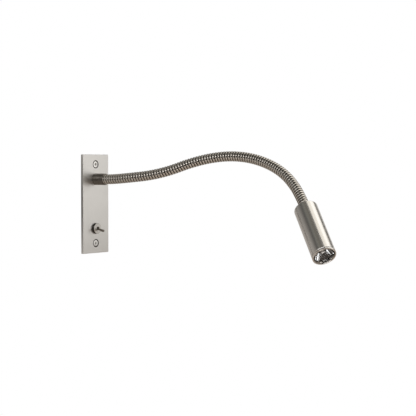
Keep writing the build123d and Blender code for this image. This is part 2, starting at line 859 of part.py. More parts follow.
# The terminal block's eight slotted screws, each down on its wire.
screw_top = block_front + terminal_screw_sunk
screw_tip = port_depth - wire_dia / 2 - sleeve_gap
with BuildPart() as terminal_screws:
    with BuildSketch(depth_plane(screw_top)):
        with Locations(*screw_places):
            Circle(terminal_screw_dia / 2)
    extrude(amount=screw_top - screw_tip)
    with BuildSketch(depth_plane(screw_top)):
        with Locations(*screw_places):
            Rectangle(terminal_screw_dia, terminal_slot)
    extrude(amount=-terminal_slot, mode=Mode.SUBTRACT)
terminal_screws.part.label = "terminal_screws"
export_step(terminal_screws.part, "parts/terminal_screws.step")

# Wires in the box: two straight up to the driver, one to the switch and one back from it.
wire_start = block_top - wire_in_port
wire_top = block_top + wire_rise
switch_live = switch_height + blade_spacing
return_low = block_bottom - wire_drop
wires = [
    [(neutral, port_depth, wire_start), (neutral, port_depth, driver_bottom + wire_in_driver)],
    [(switched, port_depth, wire_start), (switched, port_depth, driver_bottom + wire_in_driver)],
    [
        (live, port_depth, wire_start),
        (live, port_depth, wire_top),
        (live, wire_lane, wire_top),
        (0, wire_lane, switch_live),
        (0, blade_end, switch_live),
    ],
    [
        (0, blade_end, switch_height),
        (0, wire_lane, switch_height),
        (switched, port_depth, return_low),
        (switched, port_depth, block_bottom + wire_in_port),
    ],
]
with BuildPart() as box_wires:
    for points in wires:
        wire = route("wire", *points)
        sweep(round_section(wire, wire_dia), path=wire)
box_wires.part.label = "box_wires"
export_step(box_wires.part, "parts/box_wires.step")

# Earth wire, from the terminal block to the tongue of the earth tag.
tag_point = arm_height - tag_wire_reach
with BuildPart() as earth_wire:
    wire = route(
        "earth wire",
        (earth, port_depth, wire_start),
        (earth, port_depth, wire_top),
        (earth, earth_lane, wire_top),
        (0, earth_lane, tag_point),
        (0, -tag_back, tag_point),
    )
    sweep(round_section(wire, wire_dia), path=wire)
earth_wire.part.label = "earth_wire"
export_step(earth_wire.part, "parts/earth_wire.step")

# Head shell: a turned cylinder with a socket for the hose at its back and a step at its front
# for the ring.
head_radius = head_dia / 2
head_bore = head_radius - head_wall
seat_radius = head_bore + ring_seat
block_end = hose_socket_depth + head_web
ring_back = head_length - ring_thick
shell_front = ring_back - ring_seam
lens_seat = lens_back - sleeve_gap
with BuildPart() as head_shell:
    shell = outline(
        head,
        (0, hose_socket),
        (0, head_radius),
        (shell_front - ring_bevel, head_radius),
        (shell_front, head_radius - ring_bevel),
        (shell_front, seat_radius),
        (lens_seat, seat_radius),
        (lens_seat, head_bore),
        (block_end, head_bore),
        (block_end, stud_hole),
        (hose_socket_depth, stud_hole),
        (hose_socket_depth, hose_socket),
    )
    revolve(shell, axis=turning(head))
    back_edges = head_shell.edges().filter_by(GeomType.CIRCLE).group_by(turning(head))[0]
    fillet(back_edges.sort_by(SortBy.RADIUS)[-1], head_round)
head_shell.part.label = "head_shell"
export_step(head_shell.part, "parts/head_shell.step")

# Head fitting and its locknut, which hold the head on the hose.
head_back = lathe(joints[-1], -directions[-1])
with BuildPart() as head_fitting:
    revolve(fitting_outline(head_back, -hose_socket_depth, -block_end), axis=turning(head_back))
head_fitting.part.label = "head_fitting"
export_step(head_fitting.part, "parts/head_fitting.step")

with BuildPart() as head_locknut:
    nut = nut_face(station(head, block_end), nut_across, stud_dia + 2 * thread_gap)
    extrude(nut, amount=nut_thick)
head_locknut.part.label = "head_locknut"
export_step(head_locknut.part, "parts/head_locknut.step")

# Heat sink: an aluminium slug in the shell, with holes for the lead's cores and the LED's screws.
led_back = board_front - board_thick
sink_front = led_back - pad_thick
core_places = [(core_circle / 2, 0), (-core_circle / 2, 0)]
led_screw_places = [(0, led_screw_circle / 2), (0, -led_screw_circle / 2)]
core_hole = core_dia / 2 + wire_gap
with BuildPart() as heat_sink:
    with BuildSketch(station(head, sink_front)):
        Circle(head_bore - slip_gap)
        Circle(sink_bore / 2, mode=Mode.SUBTRACT)
        with Locations(*core_places):
            Circle(core_hole, mode=Mode.SUBTRACT)
        with Locations(*led_screw_places):
            Circle(led_screw_dia / 2 + thread_gap, mode=Mode.SUBTRACT)
    extrude(amount=-sink_length)
heat_sink.part.label = "heat_sink"
export_step(heat_sink.part, "parts/heat_sink.step")

# Thermal pad and LED board, with the same holes.
with BuildPart() as thermal_pad:
    with BuildSketch(station(head, sink_front)):
        Circle(pad_dia / 2)
        with Locations(*core_places):
            Circle(core_hole, mode=Mode.SUBTRACT)
        with Locations(*led_screw_places):
            Circle(led_screw_dia / 2 + slip_gap, mode=Mode.SUBTRACT)
    extrude(amount=pad_thick)
thermal_pad.part.label = "thermal_pad"
export_step(thermal_pad.part, "parts/thermal_pad.step")

with BuildPart() as led_board:
    with BuildSketch(station(head, led_back)):
        Circle(led_board_dia / 2)
        with Locations(*core_places):
            Circle(core_hole, mode=Mode.SUBTRACT)
        with Locations(*led_screw_places):
            Circle(led_screw_dia / 2 + slip_gap, mode=Mode.SUBTRACT)
    extrude(amount=board_thick)
led_board.part.label = "led_board"
export_step(led_board.part, "parts/led_board.step")

# The LED: a square package with a clear dome.
with BuildPart() as led_emitter:
    with BuildSketch(station(head, board_front)):
        Rectangle(led_size, led_size)
    extrude(amount=led_thick)
    with Locations(station(head, board_front + led_thick).origin):
        Sphere(led_dome_dia / 2)
led_emitter.part.label = "led_emitter"
export_step(led_emitter.part, "parts/led_emitter.step")

# Two screws that hold the LED board down on the heat sink.
with BuildPart() as led_screws:
    with BuildSketch(station(head, board_front)):
        with Locations(*led_screw_places):
            Circle(led_screw_head / 2)
    extrude(amount=led_screw_head_tall)
    with BuildSketch(station(head, board_front)):
        with Locations(*led_screw_places):
            Circle(led_screw_dia / 2)
    extrude(amount=-led_screw_length)
led_screws.part.label = "led_screws"
export_step(led_screws.part, "parts/led_screws.step")

# Lens holder: a black moulding that stands on the LED board, with a cone that fits the lens.
cone_slope = (lens_mouth_dia - lens_throat_dia) / 2 / lens_cone
holder_radius = head_bore - holder_play
foot_bore = led_board_dia / 2 - holder_on_board
holder_top = lens_seat - lens_rim / 2
throat_wall = lens_throat_dia / 2 + holder_gap
top_wall = throat_wall + (holder_top - lens_throat) * cone_slope
with BuildPart() as lens_holder:
    cup = outline(
        head,
        (board_front, foot_bore),
        (board_front, holder_radius),
        (holder_top, holder_radius),
        (holder_top, top_wall),
        (lens_throat, throat_wall),
        (lens_throat - holder_floor, throat_wall),
        (lens_throat - holder_floor, foot_bore),
    )
    revolve(cup, axis=turning(head))
lens_holder.part.label = "lens_holder"
export_step(lens_holder.part, "parts/lens_holder.step")

# Lens: a clear moulded cone with a pocket over the LED, a rim on the shell's step and a domed
# front.
rim_front = lens_back + lens_rim
dome_foot = ring_back - lens_dome_foot
with BuildPart() as lens:
    with BuildSketch(head):
        with BuildLine():
            Polyline(
                (dome_foot + lens_dome, 0),
                (lens_throat + lens_pocket_depth, 0),
                (lens_throat + lens_pocket_depth, lens_pocket_dia / 2),
                (lens_throat, lens_pocket_dia / 2),
                (lens_throat, lens_throat_dia / 2),
                (lens_back, lens_mouth_dia / 2),
                (lens_back, seat_radius - sleeve_gap),
                (rim_front, seat_radius - sleeve_gap),
                (rim_front, lens_dia / 2),
                (dome_foot, lens_dia / 2),
            )
            TangentArc((dome_foot + lens_dome, 0), (dome_foot, lens_dia / 2), tangent=(0, 1))
        make_face()
    revolve(axis=turning(head))
lens.part.label = "lens"
export_step(lens.part, "parts/lens.step")

# Gasket between the lens's rim and the ring's skirt.
with BuildPart() as lens_gasket:
    with BuildSketch(station(head, rim_front + sleeve_gap)):
        Circle(seat_radius - sleeve_gap)
        Circle(lens_dia / 2 + sleeve_gap, mode=Mode.SUBTRACT)
    extrude(amount=gasket_thick)
lens_gasket.part.label = "lens_gasket"
export_step(lens_gasket.part, "parts/lens_gasket.step")

# Front ring: the turned ring that holds the lens in the shell.
skirt_radius = seat_radius - slip_gap
with BuildPart() as front_ring:
    turned = outline(
        head,
        (ring_back - ring_skirt, ring_opening / 2),
        (ring_back - ring_skirt, skirt_radius),
        (ring_back, skirt_radius),
        (ring_back, head_radius - ring_bevel),
        (ring_back + ring_bevel, head_radius),
        (head_length - ring_bevel, head_radius),
        (head_length, head_radius - ring_bevel),
        (head_length, ring_opening / 2),
    )
    revolve(turned, axis=turning(head))
front_ring.part.label = "front_ring"
export_step(front_ring.part, "parts/front_ring.step")
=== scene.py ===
import bpy
import json
import math
from mathutils import Matrix, Vector


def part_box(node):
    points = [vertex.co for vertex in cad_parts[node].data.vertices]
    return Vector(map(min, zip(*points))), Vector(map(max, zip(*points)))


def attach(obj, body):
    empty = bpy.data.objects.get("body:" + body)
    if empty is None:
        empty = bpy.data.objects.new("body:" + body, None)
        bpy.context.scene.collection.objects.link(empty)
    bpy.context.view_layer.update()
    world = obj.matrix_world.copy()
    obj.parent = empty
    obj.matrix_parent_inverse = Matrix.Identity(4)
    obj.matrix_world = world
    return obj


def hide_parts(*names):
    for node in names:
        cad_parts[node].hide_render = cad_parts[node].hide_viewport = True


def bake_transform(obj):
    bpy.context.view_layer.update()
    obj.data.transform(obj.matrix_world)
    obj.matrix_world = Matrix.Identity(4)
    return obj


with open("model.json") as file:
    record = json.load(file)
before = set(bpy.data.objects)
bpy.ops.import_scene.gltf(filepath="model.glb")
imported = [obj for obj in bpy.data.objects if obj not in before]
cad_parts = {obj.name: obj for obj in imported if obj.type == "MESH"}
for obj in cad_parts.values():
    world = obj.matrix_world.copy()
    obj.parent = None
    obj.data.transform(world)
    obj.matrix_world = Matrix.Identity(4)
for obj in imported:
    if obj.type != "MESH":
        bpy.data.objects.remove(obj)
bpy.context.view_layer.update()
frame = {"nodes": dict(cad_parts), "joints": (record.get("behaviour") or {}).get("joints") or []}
bpy.ops.object.select_all(action="DESELECT")

# Camera: a long lens, level with the lamp and well round to its left, so that the plate stands
# narrow and the arm reaches across the picture.
focal_length, sensor_width = 108.415, 36.0
camera_place = (-1.11308, -1.0552, 0.05)
camera_turn, camera_tip = math.radians(-51.73), math.radians(-2.07)
quarter_turn = math.radians(90)
camera_data = bpy.data.cameras.new("camera")
camera_data.lens = focal_length
camera_data.sensor_width = sensor_width
camera = bpy.data.objects.new("camera", camera_data)
bpy.context.collection.objects.link(camera)
camera.location = camera_place
camera.rotation_euler = (quarter_turn + camera_tip, 0, camera_turn)
bpy.context.scene.camera = camera
bpy.context.scene.view_settings.view_transform = "Standard"


class Wire:
    """A socket of a node. A sum written with wires adds its own Math nodes."""

    def __init__(self, finish, socket):
        self.finish, self.socket = finish, socket

    def math(self, operation, first, second):
        return self.finish.node("Math", {"operation": operation}, {0: first, 1: second})

    def __add__(self, other):
        return self.math("ADD", self, other)

    def __radd__(self, other):
        return self.math("ADD", other, self)

    def __sub__(self, other):
        return self.math("SUBTRACT", self, other)

    def __rsub__(self, other):
        return self.math("SUBTRACT", other, self)

    def __mul__(self, other):
        return self.math("MULTIPLY", self, other)

    def __rmul__(self, other):
        return self.math("MULTIPLY", other, self)


class Finish:
    """A material or a world, and the one way in which its nodes are added."""

    def __init__(self, owner, output):
        owner.use_nodes = True
        self.owner, self.tree = owner, owner.node_tree
        self.tree.nodes.clear()
        self.output = self.tree.nodes.new(output)

    def node(self, kind, settings=None, sockets=None, out=0):
        made = self.tree.nodes.new("ShaderNode" + kind)
        for name, value in (settings or {}).items():
            if name == "stops":
                while len(made.color_ramp.elements) < len(value):
                    made.color_ramp.elements.new(1.0)
                for element, (place, colour) in zip(made.color_ramp.elements, value):
                    element.position, element.color = place, (*colour, 1.0)
            else:
                setattr(made, name, value)
        for name, value in (sockets or {}).items():
            if isinstance(value, Wire):
                self.tree.links.new(value.socket, made.inputs[name])
            else:
                made.inputs[name].default_value = value
        return Wire(self, made.outputs[out])

    def show(self, shader):
        self.tree.links.new(shader.socket, self.output.inputs["Surface"])
        return self.owner


# Wall and floor: the plate lies on a wall that the camera sees as white paper, and metal sees as
# a grey one that glows with painted light: brighter at the lamp's height, with painted shade just round the
# plate, and bright far to the right.
# From behind, the camera looks through it.
wall_size = 6.0
floor_depth = -0.75
wall_back = 0.0002
bpy.ops.mesh.primitive_plane_add(size=wall_size, rotation=(quarter_turn, 0, 0))
wall = bpy.context.object
wall.name = "wall"
bpy.ops.object.transform_apply(location=True, rotation=True, scale=True)
wall.location = (0, wall_back, floor_depth + wall_size / 2)
bpy.ops.object.transform_apply(location=True, rotation=True, scale=True)
paper = Finish(bpy.data.materials.new("white_wall"), "ShaderNodeOutputMaterial")
place = paper.node("TexCoord", out="Object")
height = paper.node("SeparateXYZ", None, {"Vector": place}, out="Z")
sideways = paper.node("SeparateXYZ", None, {"Vector": place}, out="X")
wall_low, wall_high = floor_depth, 2.25
# Painted light for metal: the wall's glow grows brighter or darker with height.
wall_lit = [
    (-0.75, (0.10, 0.085, 0.07)),
    (-0.30, (0.30, 0.27, 0.24)),
    (-0.05, (0.50, 0.47, 0.44)),
    (0.10, (0.34, 0.33, 0.31)),
    (0.24, (0.19, 0.18, 0.17)),
    (0.36, (0.11, 0.11, 0.105)),
    (0.70, (0.23, 0.23, 0.21)),
    (1.90, (0.18, 0.17, 0.145)),
]
lit = paper.node(
    "ValToRGB",
    {"stops": [((at - wall_low) / (wall_high - wall_low), colour) for at, colour in wall_lit]},
    {"Fac": (height - wall_low) * (1 / (wall_high - wall_low))},
)
# Painted shade on the wall just round the plate, then a brighter painted grey far to the right.
round_plate = (1.0, 0.0, 0.4)
shade_start, shade_end, shade_depth = 0.024, 0.036, 0.22
off_plate = paper.node("VectorMath", {"operation": "MULTIPLY"}, {0: place, 1: round_plate})
off_plate = paper.node("VectorMath", {"operation": "LENGTH"}, {0: off_plate}, out="Value")
shade = {"Value": off_plate, "From Min": shade_start, "From Max": shade_end, "To Min": shade_depth}
shade = paper.node("MapRange", None, shade)
lit = paper.node("VectorMath", {"operation": "SCALE"}, {0: lit, "Scale": shade})
right_start, right_end, right_grey = 0.15, 0.45, (0.74, 0.72, 0.69, 1)
to_right = {"Value": sideways, "From Min": right_start, "From Max": right_end}
to_right = paper.node("MapRange", None, to_right)
lit = paper.node("Mix", {"data_type": "RGBA"}, {0: to_right, 6: lit, 7: right_grey}, out=2)
seen = paper.node("LightPath", out="Is Camera Ray")
behind = paper.node("NewGeometry", out="Backfacing")
painted_shading = paper.node("Emission", None, {"Color": lit, "Strength": 1.0})
pure_white = (1, 1, 1, 1)
white = paper.node("Emission", None, {"Color": pure_white, "Strength": 1.0})
face = paper.node("MixShader", None, {0: seen, 1: painted_shading, 2: white})
clear = paper.node("BsdfTransparent")
see_through = paper.node("MixShader", None, {0: behind * seen, 1: face, 2: clear})
wall.data.materials.append(paper.show(see_through))

bpy.ops.mesh.primitive_plane_add(size=wall_size, location=(0, 0, floor_depth))
floor = bpy.context.object
floor.name = "floor"
floor_mirrored, floor_paint = (0.50, 0.43, 0.37, 1), (0.80, 0.79, 0.77, 1)
pale = Finish(bpy.data.materials.new("pale_floor"), "ShaderNodeOutputMaterial")
mirrored = pale.node("LightPath", out="Is Glossy Ray")
boards = pale.node("Emission", None, {"Color": floor_mirrored, "Strength": 1.0})
paint = pale.node("BsdfDiffuse", None, {"Color": floor_paint})
floor.data.materials.append(pale.show(pale.node("MixShader", None, {0: mirrored, 1: paint, 2: boards})))

# Studio light: a white room for the camera and for dull surfaces. Metal sees a dim one, with
# softboxes overhead, in front, at the left and low down, and a black cloth round the camera.
room_mirrored, cloth_black = (0.20, 0.195, 0.185, 1), (0.03, 0.029, 0.028, 1)
room = Finish(bpy.context.scene.world or bpy.data.worlds.new("room"), "ShaderNodeOutputWorld")
bpy.context.scene.world = room.owner
mirrored = room.node("LightPath", out="Is Glossy Ray")
dim = room.node("Background", None, {"Color": room_mirrored, "Strength": 1.0})
bright = room.node("Background", None, {"Color": pure_white, "Strength": 1.0})
room.show(room.node("MixShader", None, {0: mirrored, 1: bright, 2: dim}))

cloth_way, cloth_far, cloth_size = Vector((-0.785, -0.619, 0.0)), 2.2, 3.0
cloth_turn = cloth_way.to_track_quat("Z", "Y").to_euler()
bpy.ops.mesh.primitive_plane_add(size=cloth_size, rotation=cloth_turn)
cloth = bpy.context.object
cloth.name = "black_cloth"
cloth.location = cloth_way * cloth_far
cloth.visible_camera = cloth.visible_diffuse = cloth.visible_shadow = False
black = Finish(bpy.data.materials.new("black_cloth"), "ShaderNodeOutputMaterial")
cloth.data.materials.append(black.show(black.node("Emission", None, {"Color": cloth_black})))

# Each softbox has its place, the way from the lamp to it, its two sizes, how bright it looks in
# a mirror, and its colour. The second size of the overhead ones runs from left to right.
softboxes = [
    ("overhead_softbox", (0.52, -0.55, 1.05), (0.415, -0.20, 0.89), (0.9, 1.15), 1.01, (1.0, 0.97, 0.89)),
    ("overhead_core", (0.60, -0.53, 0.86), (0.53, -0.20, 0.82), (0.9, 0.42), 0.36, (0.93, 1.0, 1.12)),
    ("front_softbox", (0.445, -0.655, 0.14), (0.727, -0.687, 0.0), (0.46, 0.50), 1.32, (1.0, 0.985, 0.965)),
    ("left_softbox", (-0.72, -0.60, 0.45), (-0.798, -0.317, 0.514), (1.0, 0.30), 2.8, (1.0, 1.0, 1.0)),
    ("low_softbox", (-0.165, -0.46, -0.12), (-0.70, -0.60, -0.40), (0.21, 0.16), 1.8, (1.0, 1.0, 1.0)),
]
for name, place, way, (wide, high), brightness, colour in softboxes:
    light = bpy.data.lights.new(name, "AREA")
    light.shape = "RECTANGLE"
    light.size, light.size_y = wide, high
    light.energy = brightness * math.pi * wide * high
    light.color = colour
    lamp = bpy.data.objects.new(name, light)
    bpy.context.collection.objects.link(lamp)
    lamp.location = place
    lamp.rotation_euler = Vector(way).to_track_quat("Z", "Y").to_euler()
    lamp.visible_camera = False


# Face plate: a nickel plated steel plate, satin brushed up and down, with eased edges. Two screws
# go through its countersunk holes, and thin rings of painted shade darken the plate round their rims.
noise_middle = 0.5
scratch_detail, scratch_rough, scratch_height, scratch_dulls = 3.0, 0.6, 0.0001, 0.14
cloud_scale, cloud_detail, cloud_share = 90.0, 2.0, 0.6
# The near-black tone of the rings of painted shade round countersunk screws.
ring_blur, ring_shade_paint = 0.0002, (0.06, 0.055, 0.05, 1)


def brushed(name, colour, rough, turn, grain=(60.0, 60.0, 4000.0), tone=0.10, depth=0.06, painted_shading=()):
    """Satin metal, its grain fine along the turned Z and long across it, with rings of painted shade in it.
    """
    finish = Finish(bpy.data.materials.new(name), "ShaderNodeOutputMaterial")
    place = finish.node("TexCoord", out="Object")
    along = finish.node("Mapping", None, {"Vector": place, "Rotation": turn})
    lines = finish.node("VectorMath", {"operation": "MULTIPLY"}, {0: along, 1: grain})
    fine = {"Vector": lines, "Scale": 1.0, "Detail": scratch_detail, "Roughness": scratch_rough}
    scratch = finish.node("TexNoise", None, fine)
    broad = {"Vector": place, "Scale": cloud_scale, "Detail": cloud_detail}
    cloud = finish.node("TexNoise", None, broad)
    worn = (scratch - noise_middle) * tone + (cloud - noise_middle) * tone * cloud_share + 1.0
    light_tone = finish.node("VectorMath", {"operation": "SCALE"}, {0: colour, "Scale": worn})
    # Each ring darkens the colour between two radii round an axis, as painted shade.
    for ring_height, inner, outer in painted_shading:
        axis = (0, 0, ring_height)
        from_axis = finish.node("VectorMath", {"operation": "SUBTRACT"}, {0: place, 1: axis})
        flat = finish.node("VectorMath", {"operation": "MULTIPLY"}, {0: from_axis, 1: (1, 0, 1)})
        radius = finish.node("VectorMath", {"operation": "LENGTH"}, {0: flat}, out="Value")
        rim = {"Value": radius, "From Min": inner, "From Max": inner + ring_blur}
        past = finish.node("MapRange", None, rim)
        short = finish.node("Math", {"operation": "LESS_THAN"}, {0: radius, 1: outer})
        sides = {0: past * short, 6: light_tone, 7: ring_shade_paint}
        light_tone = finish.node("Mix", {"data_type": "RGBA"}, sides, out=2)
    relief = {"Strength": depth, "Distance": scratch_height, "Height": scratch}
    look = {
        "Base Color": light_tone,
        "Metallic": 1.0,
        "Roughness": (scratch - noise_middle) * scratch_dulls + rough,
        "Normal": finish.node("Bump", None, relief),
    }
    return finish.show(finish.node("BsdfPrincipled", None, look))


def wear(node_or_piece, finish):
    """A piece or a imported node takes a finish."""
    if node_or_piece.material_slots:
        for place in node_or_piece.material_slots:
            place.material = finish
    else:
        node_or_piece.data.materials.append(finish)


nodes = frame["nodes"]
plate_tone, plate_rough = (0.70, 0.69, 0.67), 0.40
up_and_down = (0, quarter_turn, 0)
screw_height = 0.048
rim_inner, rim_outer = 0.0043, 0.0050
# Rings of painted shade round the plate's two countersinks.
sunk = [(screw_height, rim_inner, rim_outer), (-screw_height, rim_inner, rim_outer)]
satin_plate = brushed("satin_nickel_plate", plate_tone, plate_rough, up_and_down, painted_shading=sunk)
wear(nodes["front_plate"], satin_plate)


# Turned pieces are drawn as an outline, from the axis out, and spun round it.
seed_size, weld = 0.001, 0.000002


def drawn(name, points):
    """A line of edges through points, pulled out of one corner."""
    bpy.ops.object.select_all(action="DESELECT")
    bpy.ops.mesh.primitive_plane_add(size=seed_size, location=(0, 0, 0))
    made = bpy.context.object
    made.name = made.data.name = name
    bpy.ops.object.mode_set(mode="EDIT")
    bpy.ops.mesh.merge(type="CENTER")
    bpy.ops.transform.translate(value=points[0])
    for before, after in zip(points, points[1:]):
        step = Vector(after) - Vector(before)
        bpy.ops.mesh.extrude_vertices_move(TRANSFORM_OT_translate={"value": step})
    bpy.ops.object.mode_set(mode="OBJECT")
    return made


def rounded(centre, radius, start, end, steps):
    """Points of an arc in a turned outline: distance along the axis, and radius."""
    angles = [math.radians(start + (end - start) * step / steps) for step in range(steps + 1)]
    return [(centre[0] + radius * math.sin(a), centre[1] + radius * math.cos(a)) for a in angles]


def turned(name, points, place, facets=96, smooth=30):
    """A closed outline of (along, radius) points, spun round the axis of its place."""
    made = drawn(name, [(radius, 0, along) for along, radius in points + points[:1]])
    bpy.ops.object.mode_set(mode="EDIT")
    bpy.ops.mesh.select_all(action="SELECT")
    bpy.ops.mesh.spin(steps=facets, angle=math.radians(360), center=(0, 0, 0), axis=(0, 0, 1))
    bpy.ops.mesh.select_all(action="SELECT")
    bpy.ops.mesh.remove_doubles(threshold=weld)
    bpy.ops.mesh.delete_loose()
    bpy.ops.mesh.select_all(action="SELECT")
    bpy.ops.mesh.normals_make_consistent(inside=False)
    bpy.ops.object.mode_set(mode="OBJECT")
    made.matrix_world = place
    bpy.ops.object.transform_apply(location=True, rotation=True, scale=True)
    bpy.ops.object.shade_smooth_by_angle(angle=math.radians(smooth))
    return made


def seat(origin, direction):
    """The place of a turned piece whose axis leaves its origin in a direction."""
    return Matrix.Translation(origin) @ Vector(direction).to_track_quat("Z", "Y").to_matrix().to_4x4()


# Ferrule: a sleeve turned from steel and plated in dark nickel, with a rounded lip. The hose sits
# in its bore, and a hollow stud and a nut behind the plate hold them both.
arm_height = 0.030
plate_face = -0.003
ferrule_length, ferrule_radius = 0.016, 0.007
ferrule_bore, ferrule_lip = 0.0061, 0.0005
ferrule_floor, stud_hole = 0.0024, 0.00505
ferrule_ease, lip_land, bore_ease = 0.0002, 0.0001, 0.0003
lip_middle = (ferrule_length - ferrule_lip, ferrule_radius - ferrule_lip)
lip_arc, lip_steps = 70, 4
out_of_wall = Vector((0, -1, 0))
ferrule = turned(
    "turned_ferrule",
    [
        (0, stud_hole),
        (0, ferrule_radius - ferrule_ease),
        (ferrule_ease, ferrule_radius),
        *rounded(lip_middle, ferrule_lip, 0, lip_arc, lip_steps),
        (ferrule_length, ferrule_bore + lip_land),
        (ferrule_length - bore_ease, ferrule_bore),
        (ferrule_floor, ferrule_bore),
        (ferrule_floor, stud_hole),
    ],
    seat((0, plate_face, arm_height), out_of_wall),
)
from_wall = (quarter_turn, 0, 0)
dark_nickel = (0.17, 0.155, 0.14)
gunmetal = brushed("dark_nickel", dark_nickel, 0.28, from_wall, tone=0.16, depth=0.7)
wear(ferrule, gunmetal)
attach(ferrule, "base")
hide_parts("ferrule")

# Plate screws: two countersunk screws of bright steel, turned and broached for a 3 mm key. They
# go through the plate into the lugs of the box, and lie a little below the plate's face.
screw_sunk = 0.00015
screw_face = plate_face + screw_sunk
screw_rim, screw_shank, screw_end = 0.0045, 0.0025, 0.012
key_corner, key_depth, key_lead = 0.001732, 0.0018, 0.0021
screw_edge, screw_point, key_cone = 0.00430, 0.0005, 0.0006
screw_sides, key_sides = 48, 6
# Steps of the head and shank, and of the key's hole, are radii with their depths below the face.
rim_steps = [(screw_edge, 0), (0.00444, 0.00003), (screw_rim, 0.00013), (screw_shank, 0.00213)]
rim_steps += [(screw_shank, screw_end - screw_point), (screw_shank - screw_point, screw_end)]
rim_steps += [(0, screw_end)]
key_steps = [(key_lead, 0), (key_corner, 0.00022), (key_corner, key_depth), (0, key_depth + key_cone)]
bpy.ops.object.select_all(action="DESELECT")
bpy.ops.mesh.primitive_circle_add(vertices=screw_sides, radius=screw_edge)
plate_screw = bpy.context.object
bpy.ops.object.mode_set(mode="EDIT")
bpy.ops.mesh.primitive_circle_add(vertices=key_sides, radius=key_lead)
bpy.ops.mesh.select_all(action="SELECT")
bpy.ops.mesh.bridge_edge_loops()


def stepped(mesh_object, first_radius, steps, near=0.00001):
    """Pulls the open edge at a radius down through more steps of radius and depth."""
    bpy.ops.mesh.select_mode(type="VERT")
    bpy.ops.mesh.select_all(action="DESELECT")
    bpy.ops.object.mode_set(mode="OBJECT")
    for vertex in mesh_object.data.vertices:
        vertex.select = abs(vertex.co.xy.length - first_radius) < near and abs(vertex.co.z) < near
    bpy.ops.object.mode_set(mode="EDIT")
    for (before, above), (after, below) in zip(steps, steps[1:]):
        bpy.ops.mesh.extrude_edges_move(TRANSFORM_OT_translate={"value": (0, 0, above - below)})
        if after:
            share = after / before
            bpy.ops.transform.resize(value=(share, share, 1), center_override=(0, 0, -below))
        else:
            bpy.ops.mesh.merge(type="CENTER")


stepped(plate_screw, screw_edge, rim_steps)
stepped(plate_screw, key_lead, key_steps)
bpy.ops.mesh.select_all(action="SELECT")
bpy.ops.mesh.normals_make_consistent(inside=False)
bpy.ops.object.mode_set(mode="OBJECT")
# Painted shade: a dark ring on the outer rim of each screw head, where it meets the countersink.
rim_shade_inner, rim_shade_outer = 0.0036, 0.0048
shaded_rims = [(screw_height, rim_shade_inner, rim_shade_outer), (-screw_height, rim_shade_inner, rim_shade_outer)]
screw_tone = (0.72, 0.71, 0.69)
screw_steel = brushed("plated_screw_steel", screw_tone, 0.30, from_wall, painted_shading=shaded_rims)
wear(plate_screw, screw_steel)
lower_screw = plate_screw.copy()
lower_screw.data = plate_screw.data.copy()
bpy.context.collection.objects.link(lower_screw)
for screw, name, height in (
    (plate_screw, "plate_screw_upper", screw_height),
    (lower_screw, "plate_screw_lower", -screw_height),
):
    bpy.ops.object.select_all(action="DESELECT")
    screw.select_set(True)
    bpy.context.view_layer.objects.active = screw
    screw.name = screw.data.name = name
    screw.matrix_world = seat((0, screw_face, height), out_of_wall)
    bpy.ops.object.transform_apply(location=True, rotation=True, scale=True)
    bpy.ops.object.shade_smooth_by_angle(angle=math.radians(25))
    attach(screw, "base")
    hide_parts("plate_screws")

# Dress nut: a round nut turned from steel and nickel plated, that holds the switch in the plate.
# Its side is plain, its edge is bevelled, and its face has a raised middle round the lever's hole.
switch_height = -0.030
nut_radius, nut_front, nut_bevel = 0.0065, 0.0035, 0.0005
nut_step, nut_plateau, lever_hole, nut_thread = 0.0004, 0.0046, 0.0024, 0.00318
bushing_top = 0.0029
nut_ease, bevel_ease, bevel_soft, face_soft = 0.00015, 0.0001, 0.00003, 0.00004
foot_ease, foot_rise, foot_run, plateau_ease, hole_ease = 0.0002, 0.00006, 0.00008, 0.00012, 0.0002
nut_shoulder = nut_front - nut_step
dress_nut = turned(
    "turned_dress_nut",
    [
        (0, nut_thread),
        (0, nut_radius - nut_ease),
        (nut_ease, nut_radius),
        (nut_shoulder - nut_bevel, nut_radius),
        (nut_shoulder - nut_bevel + bevel_ease, nut_radius - bevel_soft),
        (nut_shoulder - face_soft, nut_radius - nut_bevel + bevel_ease),
        (nut_shoulder, nut_radius - nut_bevel),
        (nut_shoulder, nut_plateau + foot_ease),
        (nut_shoulder + foot_rise, nut_plateau + foot_run),
        (nut_front - plateau_ease, nut_plateau),
        (nut_front, nut_plateau - plateau_ease),
        (nut_front, lever_hole + hole_ease),
        (nut_front - hole_ease, lever_hole),
        (bushing_top, lever_hole),
        (bushing_top, nut_thread),
    ],
    seat((0, plate_face, switch_height), out_of_wall),
    smooth=20,
)
# Painted shade: a dark ring over the nut's side and the outer edge of its bevel.
side_inner, side_outer = 0.0062, 0.0070
painted_side_shade = [(switch_height, side_inner, side_outer)]
nut_tone = (0.58, 0.56, 0.53)
nut_nickel = brushed("nickel_dress_nut", nut_tone, 0.36, from_wall, painted_shading=painted_side_shade)
wear(dress_nut, nut_nickel)
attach(dress_nut, "base")
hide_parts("dress_nut")

# Toggle lever: turned from steel and plated in dark nickel, thin where it leaves its ball and
# thicker towards a rounded tip. It rocks up and down in the bushing.
lever_tone = (0.21, 0.185, 0.16)
wear(nodes["toggle_lever"], brushed("lever_steel", lever_tone, 0.30, from_wall))

# Hose: a steel strip wound into a tube, one rib to each turn. It is wound straight, cut between
# the arm's joints, and bent along the arm's line, so that each cut length spans one joint.
arm_lengths, length_of_hose = 12, 0.0252
rib_pitch = 0.00336
rib_radius, groove_radius = 0.0060, 0.0049
strip_thick = 0.0003
hose_hidden = 0.0120
facets_a_turn = 40
